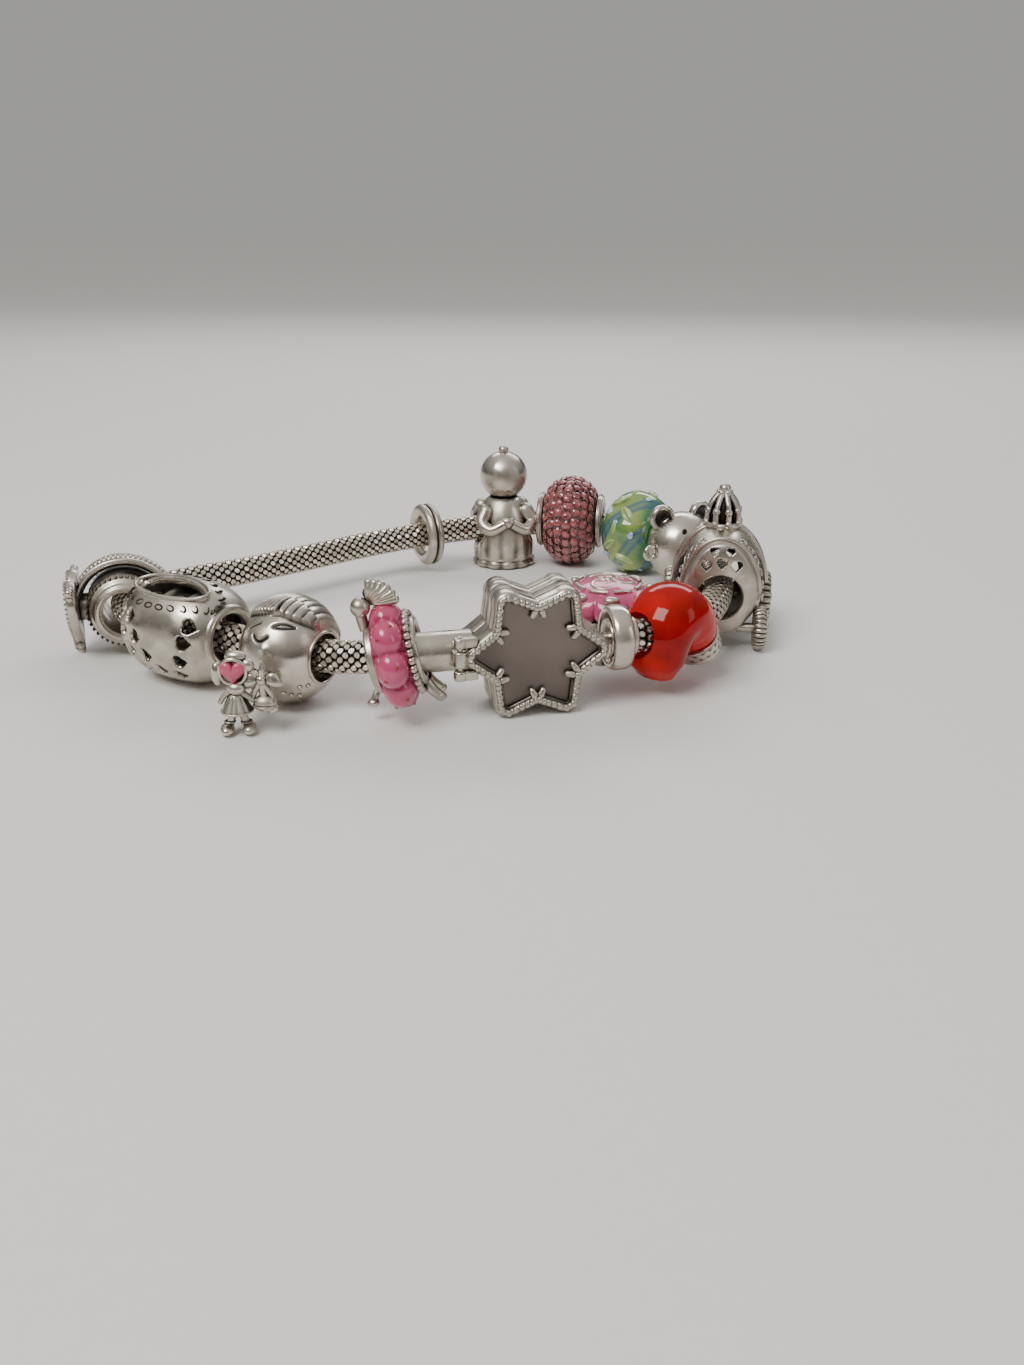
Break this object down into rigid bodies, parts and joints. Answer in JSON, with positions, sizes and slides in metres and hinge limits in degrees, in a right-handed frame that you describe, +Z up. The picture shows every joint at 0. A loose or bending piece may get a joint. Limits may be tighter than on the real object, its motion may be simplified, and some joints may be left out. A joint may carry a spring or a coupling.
{
  "type": "charm bracelet",
  "caption": "Charm bracelet: a woven silver chain strung with cast silver, enamel and glass charms and closed by a hinged star clasp.",
  "frame": {"origin": "centre of the bounding box in plan, at the plane the bracelet lies on", "axes": "+X to the right along the loop's longest extent, +Y away from the clasp, +Z up, across the loop"},
  "size_m": [0.074, 0.0598, 0.0163],
  "materials": {
    "silver": "polished silver, oxidised dark in the recesses",
    "chain_silver": "woven silver, oxidised between the nubs",
    "dark_silver": "oxidised silver",
    "red_glass": "glossy translucent red glass, opaque here",
    "green_glass": "glossy iridescent yellow-green glass with blue stripes, opaque here",
    "rose_stones": "small faceted mauve-rose stones in dark seats",
    "pink_enamel": "glossy pink enamel",
    "icing_enamel": "glossy light pink enamel"
  },
  "bodies": {
    "bracelet": {"mesh_chain": "chain_silver", "clasp_base": "silver", "chain_end": "silver", "stopper_ring": "silver", "cake_cup": "dark_silver", "cake_icing": "icing_enamel", "cake_ring": "silver", "stocking_body": "red_glass", "stocking_cuff": "silver", "stocking_top": "red_glass", "coach": "silver", "bear_head": "silver", "green_bead": "green_glass", "pave_body": "rose_stones", "pave_core": "silver", "bell_figure": "silver", "spacer_ring": "silver", "lobed_ring": "pink_enamel", "lobed_core": "silver", "face_bead": "silver", "doll_drop": "silver", "doll_heart": "pink_enamel", "drop_ring": "silver", "pierced_bead": "silver", "framed_bead": "silver"},
    "clasp_lid": {"clasp_lid": "silver"}
  },
  "joints": [
    {"name": "clasp_hinge", "type": "hinge", "parent": "bracelet", "child": "clasp_lid", "pos_m": [0.00421, -0.02599, 0.00586], "axis": [0, 0, -1], "range_deg": [0, 65]}
  ]
}
